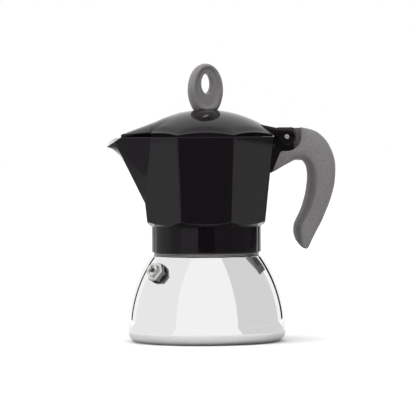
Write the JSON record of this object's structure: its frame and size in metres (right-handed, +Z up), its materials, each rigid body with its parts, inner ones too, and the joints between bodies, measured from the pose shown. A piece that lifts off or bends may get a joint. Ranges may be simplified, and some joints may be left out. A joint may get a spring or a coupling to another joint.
{
  "type": "moka pot",
  "caption": "Stovetop moka pot: a polished steel boiler screws into a black eight-sided collector with a spout, a grey moulded handle, a hinged domed lid and a ring knob.",
  "frame": {"origin": "middle of the boiler's flat foot, on the surface the pot stands on", "axes": "+Z up along the pot's axis, -X towards the spout, +X towards the handle, -Y towards the viewer"},
  "size_m": [0.1482, 0.1024, 0.18],
  "materials": {
    "polished_steel": "mirror-polished stainless steel",
    "cast_aluminium": "satin, as turned",
    "valve_steel": "turned, bright",
    "fastener_steel": "plain zinc-bright steel",
    "seal_rubber": "pale moulded silicone rubber",
    "black_lacquer": "glossy black lacquer on cast aluminium",
    "grey_plastic": "soft-touch grey moulding"
  },
  "bodies": {
    "boiler": {"boiler_shell": "polished_steel", "boiler_liner": "cast_aluminium", "valve_washer": "valve_steel", "valve_body": "valve_steel", "valve_cap": "valve_steel", "valve_spring": "valve_steel"},
    "valve": {"valve_seal": "seal_rubber", "valve_stem": "valve_steel"},
    "funnel": {"funnel": "cast_aluminium", "funnel_screen": "cast_aluminium"},
    "seal": {"gasket": "seal_rubber", "filter_plate": "cast_aluminium"},
    "collector": {"collector": "black_lacquer", "collar": "black_lacquer", "riser_column": "cast_aluminium", "hinge_lug": "black_lacquer", "hinge_pin": "fastener_steel", "handle": "grey_plastic", "handle_screw": "fastener_steel"},
    "lid": {"lid": "black_lacquer", "knob": "grey_plastic", "knob_washer": "fastener_steel", "knob_screw": "fastener_steel"}
  },
  "joints": [
    {"name": "valve_lift", "type": "slide", "parent": "boiler", "child": "valve", "axis": [-0.6378, -0.6378, 0.4318], "range_m": [0, 0.0015], "stiffness_N_per_m": 1500, "springref_m": -0.001, "deforming": ["valve_spring"]},
    {"name": "funnel_lift", "type": "slide", "parent": "boiler", "child": "funnel", "axis": [0, 0, 1], "range_m": [0, 0.095]},
    {"name": "collector_rise", "type": "slide", "parent": "funnel", "child": "seal", "axis": [0, 0, 1], "range_m": [0, 0.0121]},
    {"name": "collector_turn", "type": "hinge", "parent": "seal", "child": "collector", "pos_m": [0, 0, 0.058], "axis": [0, 0, 1], "range_deg": [0, 1080]},
    {"name": "lid_hinge", "type": "hinge", "parent": "collector", "child": "lid", "pos_m": [0.0523, 0, 0.1323], "axis": [0, 1, 0], "range_deg": [0, 95]}
  ],
  "couplings": [
    {"joint": "collector_rise", "follows": "collector_turn", "m_per_rad": 0.00063662}
  ]
}
